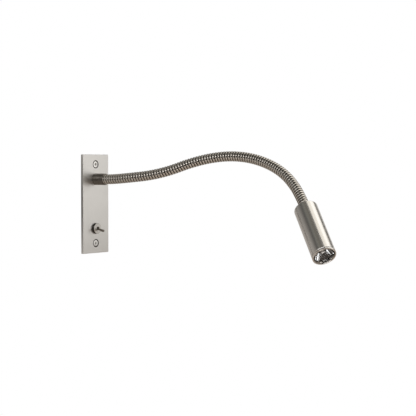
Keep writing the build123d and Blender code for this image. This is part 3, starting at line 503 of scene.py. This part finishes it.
# One side of a rib, from the groove up: distances along the hose, with radii.
flank = [
    (0, groove_radius),
    (0.00024, 0.00512),
    (0.00044, 0.00552),
    (0.00068, 0.00580),
    (0.00104, 0.00596),
]
strip = flank + [(rib_pitch / 2, rib_radius)]
strip += [(rib_pitch - along, radius) for along, radius in reversed(flank)]
winding_start = -hose_hidden - rib_pitch
arm_length = arm_lengths * length_of_hose
winding_end = arm_length + hose_hidden + rib_pitch
winding = drawn("winding", [(winding_start + along, 0, radius) for along, radius in strip])
screw = winding.modifiers.new("wind", "SCREW")
screw.axis = "X"
screw.angle = math.radians(360)
screw.screw_offset = rib_pitch
screw.iterations = math.ceil((winding_end - winding_start) / rib_pitch)
screw.steps = screw.render_steps = facets_a_turn
screw.use_merge_vertices = True
screw.merge_threshold = weld
bpy.ops.object.modifier_apply(modifier="wind")
bpy.ops.object.mode_set(mode="EDIT")
bpy.ops.mesh.select_all(action="SELECT")
bpy.ops.mesh.remove_doubles(threshold=weld)
bpy.ops.mesh.normals_make_consistent(inside=False)
bpy.ops.object.mode_set(mode="OBJECT")
crest = winding.data.attributes.new("crest", "FLOAT", "POINT")
for vertex in winding.data.vertices:
    rise = (vertex.co.yz.length - groove_radius) / (rib_radius - groove_radius)
    crest.data[vertex.index].value = rise

# The arm's line runs through its joints, in arcs that meet smoothly.
hinges = [Vector(joint["pos_m"]) for joint in frame["joints"] if joint["name"].startswith("arm")]


def middle(node):
    low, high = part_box(node)
    return (low + high) / 2


nut_from_arm_end = 0.01885
line_steps, hardly_bent = 48, 1e-6
head_way = (middle("thermal_pad") - middle("head_locknut")).normalized()
arm_end = middle("head_locknut") - head_way * nut_from_arm_end
arm_start = Vector((0, plate_face - ferrule_length, arm_height))
stations = [arm_start, *hinges, arm_end]
ways = [out_of_wall]
for before, after in zip(stations, stations[1:]):
    chord = (after - before).normalized()
    ways.append(chord * 2 * chord.dot(ways[-1]) - ways[-1])
line = bpy.data.curves.new("arm_line", "CURVE")
line.dimensions = "3D"
line.resolution_u = line_steps
line.twist_mode = "Z_UP"
line.use_deform_bounds = False
spline = line.splines.new("BEZIER")
spline.bezier_points.add(len(stations) - 1)
for number, (place, way) in enumerate(zip(stations, ways)):
    corner = spline.bezier_points[number]
    corner.handle_left_type = corner.handle_right_type = "FREE"
    corner.co = place
    near, far = ways[max(number - 1, 0)], ways[min(number + 1, len(ways) - 1)]
    for side, turn in (("handle_left", near.angle(way)), ("handle_right", way.angle(far))):
        pull = length_of_hose / 3
        if turn >= hardly_bent:
            pull = 4 / 3 * math.tan(turn / 4) * length_of_hose / turn
        setattr(corner, side, place + way * (pull if side == "handle_right" else -pull))
arm_line = bpy.data.objects.new("arm_line", line)
bpy.context.collection.objects.link(arm_line)
arm_line.hide_render = True


def cut_length(name, low, high, cut_weld=0.0000005):
    """A copy of the straight winding between two cuts, bent on the arm's line."""
    bpy.ops.object.select_all(action="DESELECT")
    made = winding.copy()
    made.data = winding.data.copy()
    made.name = made.data.name = name
    bpy.context.collection.objects.link(made)
    bpy.context.view_layer.objects.active = made
    made.select_set(True)
    bpy.ops.object.mode_set(mode="EDIT")
    for place, past in ((low, (-1, 0, 0)), (high, (1, 0, 0))):
        bpy.ops.mesh.select_all(action="SELECT")
        cut = (place, 0, 0)
        bpy.ops.mesh.bisect(plane_co=cut, plane_no=past, clear_outer=True, threshold=cut_weld)
    bpy.ops.mesh.select_all(action="SELECT")
    bpy.ops.mesh.remove_doubles(threshold=cut_weld)
    bpy.ops.object.mode_set(mode="OBJECT")
    bend = made.modifiers.new("bend", "CURVE")
    bend.object = arm_line
    bend.deform_axis = "POS_X"
    wall_of_strip = made.modifiers.new("strip", "SOLIDIFY")
    wall_of_strip.thickness = strip_thick
    wall_of_strip.offset = -1
    bpy.ops.object.modifier_apply(modifier="bend")
    bpy.ops.object.modifier_apply(modifier="strip")
    bpy.ops.object.shade_smooth_by_angle(angle=math.radians(40))
    return made


def wound_steel():
    """Nickel plated strip: bright on the crests, with painted shade dark down in the winding."""
    finish = Finish(bpy.data.materials.new("wound_steel"), "ShaderNodeOutputMaterial")
    # Painted shade: the grooves are dark and the crests bright, blended by the crest height.
    groove_shade_tone, crest_tone = (0.02, 0.018, 0.016, 1), (0.65, 0.605, 0.55, 1)
    still_dark, fully_bright = 0.50, 0.92
    strip_rough, patchy = 0.22, 0.16
    patches = {"Scale": 260.0, "Detail": 4.0, "Roughness": 0.6}
    place = finish.node("TexCoord", out="Object")
    cloud = finish.node("TexNoise", None, {"Vector": place, **patches})
    rise = finish.node("Attribute", {"attribute_name": "crest"}, out="Fac")
    groove_shading = {"Value": rise, "From Min": still_dark, "From Max": fully_bright}
    groove_shading = finish.node("MapRange", None, groove_shading)
    sides = {0: groove_shading, 6: groove_shade_tone, 7: crest_tone}
    look = {
        "Base Color": finish.node("Mix", {"data_type": "RGBA"}, sides, out=2),
        "Metallic": 1.0,
        "Roughness": (cloud - noise_middle) * patchy + strip_rough,
    }
    return finish.show(finish.node("BsdfPrincipled", None, look))


hose_finish = wound_steel()
arm_bodies = ["base"] + [joint["child"] for joint in frame["joints"] if joint["name"].startswith("arm")]
half_length = length_of_hose / 2


def along_arm(distance):
    """The point on the arm's line at the middle of one of its lengths."""
    number = int(distance // length_of_hose)
    before, after = stations[number], stations[number + 1]
    chord = after - before
    turn = ways[number].angle(ways[number + 1])
    rise = chord.length / 2 * math.tan(turn / 4)
    out = (ways[number] - ways[number + 1]).normalized()
    return (before + after) / 2 + out * rise


root_half = cut_length("wound_hose_root", -hose_hidden, half_length)
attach(root_half, "base")
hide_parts("arm_hose_01")
head_half = cut_length("wound_hose_head", arm_length - half_length, arm_length + hose_hidden)
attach(head_half, "head")
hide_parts("arm_hose_12")
hose_pieces = [root_half, head_half]
for number, (near_body, far_body) in enumerate(zip(arm_bodies, arm_bodies[1:]), start=1):
    start = half_length + length_of_hose * (number - 1)
    bend = cut_length(f"wound_hose_{number:02d}", start, start + length_of_hose)
    along_arm(start)
    along_arm(start + length_of_hose)
    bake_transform(bend)
    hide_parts(f"arm_hose_{number + 1:02d}")
    hose_pieces.append(bend)
for piece in hose_pieces:
    wear(piece, hose_finish)
bpy.data.objects.remove(winding)

# Head shell: a tube turned from aluminium, nickel plated and brushed round. Its back edge
# is rounded, and the hose goes into a socket there.
hose_end = arm_end
head_length, head_radius, shell_bore = 0.071, 0.01325, 0.01205
back_round, socket_radius, socket_floor = 0.0020, 0.0061, 0.0136
web_front, ring_seat, seat_start = 0.0176, 0.0126, 0.0655
shell_front, shell_lip, socket_ease = 0.06885, 0.0003, 0.0002
back_middle = (back_round, head_radius - back_round)
back_steps, head_facets = 12, 128
shell = turned(
    "turned_head_shell",
    [
        (socket_ease, socket_radius),
        (0, socket_radius + socket_ease),
        *rounded(back_middle, back_round, -90, 0, back_steps),
        (shell_front - shell_lip, head_radius),
        (shell_front, head_radius - shell_lip),
        (shell_front, ring_seat),
        (seat_start, ring_seat),
        (seat_start, shell_bore),
        (web_front, shell_bore),
        (web_front, stud_hole),
        (socket_floor, stud_hole),
        (socket_floor, socket_radius),
    ],
    seat(hose_end, head_way),
    facets=head_facets,
)
head_turn = head_way.to_track_quat("Z", "Y").inverted().to_euler()
head_tone, head_rough = (0.68, 0.655, 0.625), 0.21
satin_head = brushed("satin_nickel_head", head_tone, head_rough, head_turn, tone=0.08)
wear(shell, satin_head)
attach(shell, "head")
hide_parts("head_shell")

# Front ring: turned to match the shell, with a bevel at each edge. Its skirt is pressed into the
# shell and holds the lens down.
ring_back, ring_bevel, ring_opening = 0.069, 0.0003, 0.01175
skirt_back, skirt_radius = 0.0675, 0.01255
front_ease, front_soft, mouth_ease = ring_bevel / 3, ring_bevel / 4, 0.0003
ring = turned(
    "turned_front_ring",
    [
        (skirt_back, ring_opening),
        (skirt_back, skirt_radius),
        (ring_back, skirt_radius),
        (ring_back, head_radius - ring_bevel),
        (ring_back + ring_bevel, head_radius),
        (head_length - ring_bevel, head_radius),
        (head_length - front_ease, head_radius - front_soft),
        (head_length, head_radius - ring_bevel),
        (head_length, ring_opening + mouth_ease),
        (head_length - mouth_ease, ring_opening),
    ],
    seat(hose_end, head_way),
    facets=head_facets,
    smooth=25,
)
wear(ring, satin_head)
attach(ring, "head")
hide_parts("front_ring")

# Lens: clear acrylic, moulded as a cone with a pocket over the LED, and a domed front that shows
# in the ring. Its rim is held between the ring's skirt and the holder.
lens_throat, lens_back, rim_front = 0.0566, 0.0656, 0.0668
throat_radius, mouth_radius, rim_radius, lens_radius = 0.0046, 0.0114, 0.0125, 0.0116
pocket_radius, pocket_depth = 0.0023, 0.0036
pocket_top = lens_throat + pocket_depth
crown_radius, crown_drop, crown_foot = pocket_radius * 0.6, 0.0002, 0.0006
dome_foot, dome_rise, dome_steps = 0.0684, 0.0016, 14
dome_radius = (lens_radius**2 + dome_rise**2) / (2 * dome_rise)
dome_middle = dome_foot + dome_rise - dome_radius
dome_start = math.degrees(math.acos(lens_radius / dome_radius))
lens = turned(
    "moulded_lens",
    [
        (pocket_top, 0),
        (pocket_top - crown_drop, crown_radius),
        (pocket_top - crown_foot, pocket_radius),
        (lens_throat, pocket_radius),
        (lens_throat, throat_radius),
        (lens_back, mouth_radius),
        (lens_back, rim_radius),
        (rim_front, rim_radius),
        (rim_front, lens_radius),
        *rounded((dome_middle, 0), dome_radius, dome_start, 90, dome_steps),
    ],
    seat(hose_end, head_way),
    facets=96,
)
acrylic = Finish(bpy.data.materials.new("clear_acrylic"), "ShaderNodeOutputMaterial")
place = acrylic.node("TexCoord", out="Object")
haze = acrylic.node("TexNoise", None, {"Vector": place, "Scale": 400.0, "Detail": 3.0})
acrylic_tone, acrylic_bends, hazy = (0.97, 0.98, 0.98, 1), 1.49, 0.04
clear = {
    "Base Color": acrylic_tone,
    "Transmission Weight": 1.0,
    "IOR": acrylic_bends,
    "Roughness": haze * hazy,
}
wear(lens, acrylic.show(acrylic.node("BsdfPrincipled", None, clear)))
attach(lens, "head")
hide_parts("lens")


# Inside the head: a black lens holder and gasket, the LED on its white board, a grey pad and the
# aluminium slug that takes the heat to the shell.
mould_cloud, mould_detail, grain_detail = 120.0, 3.0, 2.0
grain_height, grain_dulls = 0.00005, 0.1


def moulded(name, colour, rough, mottle=0.08, grain=1800.0, depth=0.08):
    """Plastic or rubber from a mould: even in colour, with a fine eroded grain."""
    finish = Finish(bpy.data.materials.new(name), "ShaderNodeOutputMaterial")
    place = finish.node("TexCoord", out="Object")
    broad = {"Vector": place, "Scale": mould_cloud, "Detail": mould_detail}
    cloud = finish.node("TexNoise", None, broad)
    fine = {"Vector": place, "Scale": grain, "Detail": grain_detail}
    fine = finish.node("TexNoise", None, fine)
    shade = (cloud - noise_middle) * mottle + 1.0
    relief = {"Strength": depth, "Distance": grain_height, "Height": fine}
    look = {
        "Base Color": finish.node("VectorMath", {"operation": "SCALE"}, {0: colour, "Scale": shade}),
        "Roughness": (cloud - noise_middle) * grain_dulls + rough,
        "Normal": finish.node("Bump", None, relief),
    }
    return finish.show(finish.node("BsdfPrincipled", None, look))


black_nylon, black_rubber = (0.025, 0.025, 0.027), (0.035, 0.034, 0.033)
board_white, pad_grey, slug_tone = (0.82, 0.82, 0.80), (0.36, 0.37, 0.39), (0.80, 0.80, 0.81)
black_moulding = moulded("black_moulding", black_nylon, 0.32)
wear(nodes["lens_holder"], black_moulding)
soft_black = moulded("black_rubber", black_rubber, 0.68, mottle=0.2, grain=900.0, depth=0.2)
wear(nodes["lens_gasket"], soft_black)
wear(nodes["led_board"], moulded("white_board", board_white, 0.38, mottle=0.04))
grey_pad = moulded("grey_pad", pad_grey, 0.75, mottle=0.15, grain=700.0, depth=0.2)
wear(nodes["thermal_pad"], grey_pad)
bare_aluminium = brushed("bare_aluminium", slug_tone, 0.38, head_turn, tone=0.12)
wear(nodes["heat_sink"], bare_aluminium)
phosphor_edge, package_start = 0.0013, 0.0017
package_white = (0.85, 0.84, 0.80, 1)
phosphor_tones = [(0.3, (0.86, 0.60, 0.08)), (0.7, (0.93, 0.72, 0.16))]
powder_rough, powder_dulls = 0.2, 0.2
led = Finish(bpy.data.materials.new("led_package"), "ShaderNodeOutputMaterial")
place = led.node("TexCoord", out="Object")
from_led = {0: place, 1: middle("led_emitter")}
from_led = led.node("VectorMath", {"operation": "DISTANCE"}, from_led, out="Value")
package = {"Value": from_led, "From Min": phosphor_edge, "From Max": package_start}
package = led.node("MapRange", None, package)
powder = led.node("TexNoise", None, {"Vector": place, "Scale": 3000.0, "Detail": 2.0})
phosphor = led.node("ValToRGB", {"stops": phosphor_tones}, {"Fac": powder})
sides = {0: package, 6: phosphor, 7: package_white}
tone = led.node("Mix", {"data_type": "RGBA"}, sides, out=2)
look = {"Base Color": tone, "Roughness": powder * powder_dulls + powder_rough}
wear(nodes["led_emitter"], led.show(led.node("BsdfPrincipled", None, look)))
wear(nodes["led_screws"], screw_steel)

# Fittings: hollow studs and thin locknuts, turned from brass, at the two ends of the hose, with
# a stamped earth tag behind the plate.
brass_tone = (0.72, 0.58, 0.30)
turned_brass = brushed("turned_brass", brass_tone, 0.28, from_wall, tone=0.14)
for name in ("root_fitting", "root_locknut", "head_fitting", "head_locknut", "earth_tag"):
    wear(nodes[name], turned_brass)

# Lead: grey two-core lead inside the hose, in a length for each length of hose, from the driver
# to the LED's board.
jacket_grey = (0.34, 0.34, 0.34)
jacket = moulded("grey_jacket", jacket_grey, 0.5, mottle=0.12, grain=500.0)
for name in nodes:
    if name.startswith("arm_lead"):
        wear(nodes[name], jacket)

# Back box: pressed from galvanised sheet, with the flowers of the zinc in it, and a rubber
# grommet in its cable hole.
zinc_tone, zinc_rough = (0.60, 0.61, 0.62), 0.36
flower_scale, flower_shade, flower_dulls = 170.0, 0.22, 0.16
frost_scale, frost_shade, frost_height = 900.0, 0.10, 0.0001
zinc = Finish(bpy.data.materials.new("galvanised_sheet"), "ShaderNodeOutputMaterial")
place = zinc.node("TexCoord", out="Object")
flowers = zinc.node("TexVoronoi", None, {"Vector": place, "Scale": flower_scale}, out="Color")
flake = zinc.node("SeparateXYZ", None, {"Vector": flowers}, out="X")
frost = zinc.node("TexNoise", None, {"Vector": place, "Scale": frost_scale, "Detail": 4.0})
shade = (flake - noise_middle) * flower_shade + (frost - noise_middle) * frost_shade + 1.0
relief = {"Strength": 0.1, "Distance": frost_height, "Height": frost}
look = {
    "Base Color": zinc.node("VectorMath", {"operation": "SCALE"}, {0: zinc_tone, "Scale": shade}),
    "Metallic": 1.0,
    "Roughness": flake * flower_dulls + zinc_rough,
    "Normal": zinc.node("Bump", None, relief),
}
wear(nodes["back_box"], zinc.show(zinc.node("BsdfPrincipled", None, look)))
wear(nodes["box_grommet"], soft_black)

# Switch: a threaded bushing, a washer and a nut, a plated frame over a black case, and brass
# contacts in it.
switch_tone, contact_tone = (0.62, 0.61, 0.58), (0.80, 0.60, 0.30)
switch_nickel = brushed("switch_nickel", switch_tone, 0.30, from_wall, tone=0.12)
for name in ("switch_bushing", "switch_washer", "switch_nut", "switch_frame"):
    wear(nodes[name], switch_nickel)
wear(nodes["switch_case"], black_moulding)
contact_brass = brushed("contact_brass", contact_tone, 0.25, (0, 0, 0), tone=0.12)
wear(nodes["contact_rocker"], contact_brass)
wear(nodes["switch_terminals"], contact_brass)

# Driver: a white case and cover round a green board. The transformer on it is wound in yellow
# tape, and the capacitors are sleeved in black.
case_white = (0.78, 0.78, 0.76)
white_moulding = moulded("white_moulding", case_white, 0.42, mottle=0.05)
wear(nodes["driver_case"], white_moulding)
wear(nodes["driver_cover"], white_moulding)
board_thick, on_face, tape_edge = 0.0016, 0.00002, 0.0010
tape_yellow, sleeve_black = (0.75, 0.58, 0.10, 1), (0.03, 0.03, 0.035, 1)
track_tones = {"Color1": (0.02, 0.16, 0.06, 1), "Color2": (0.03, 0.20, 0.08, 1)}
mask_green = (0.05, 0.27, 0.12, 1)
board = Finish(bpy.data.materials.new("driver_board"), "ShaderNodeOutputMaterial")
place = board.node("TexCoord", out="Object")
across = board.node("SeparateXYZ", None, {"Vector": place}, out="X")
inward = board.node("SeparateXYZ", None, {"Vector": place}, out="Y")
board_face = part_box("driver_board")[1].y - board_thick
on_board = board.node("Math", {"operation": "GREATER_THAN"}, {0: inward, 1: board_face - on_face})
on_sleeve = board.node("Math", {"operation": "GREATER_THAN"}, {0: across, 1: tape_edge})
tracks = {"Vector": place, "Scale": 300.0, **track_tones, "Mortar": mask_green}
tracks = board.node("TexBrick", None, tracks)
sides = {0: on_sleeve, 6: tape_yellow, 7: sleeve_black}
wound_parts = board.node("Mix", {"data_type": "RGBA"}, sides, out=2)
sides = {0: on_board, 6: wound_parts, 7: tracks}
look = {"Base Color": board.node("Mix", {"data_type": "RGBA"}, sides, out=2), "Roughness": 0.4}
wear(nodes["driver_board"], board.show(board.node("BsdfPrincipled", None, look)))

# Terminal block and wires: a white block with steel screws, brown wires, and an earth wire in
# green with a yellow stripe.
wear(nodes["terminal_block"], white_moulding)
wear(nodes["terminal_screws"], screw_steel)
wire_brown = (0.16, 0.07, 0.035)
wear(nodes["box_wires"], moulded("brown_wire", wire_brown, 0.38, mottle=0.1, grain=600.0))
earth_green, earth_yellow = (0.04, 0.22, 0.06, 1), (0.75, 0.66, 0.05, 1)
stripe_start, stripe_full = 0.62, 0.66
earth = Finish(bpy.data.materials.new("striped_earth_wire"), "ShaderNodeOutputMaterial")
place = earth.node("TexCoord", out="Object")
twist = earth.node("TexWave", {"bands_direction": "DIAGONAL"}, {"Vector": place, "Scale": 90.0})
twist = earth.node("SeparateXYZ", None, {"Vector": twist}, out="X")
stripe = {"Value": twist, "From Min": stripe_start, "From Max": stripe_full}
stripe = earth.node("MapRange", None, stripe)
sides = {0: stripe, 6: earth_green, 7: earth_yellow}
look = {"Base Color": earth.node("Mix", {"data_type": "RGBA"}, sides, out=2), "Roughness": 0.4}
wear(nodes["earth_wire"], earth.show(earth.node("BsdfPrincipled", None, look)))
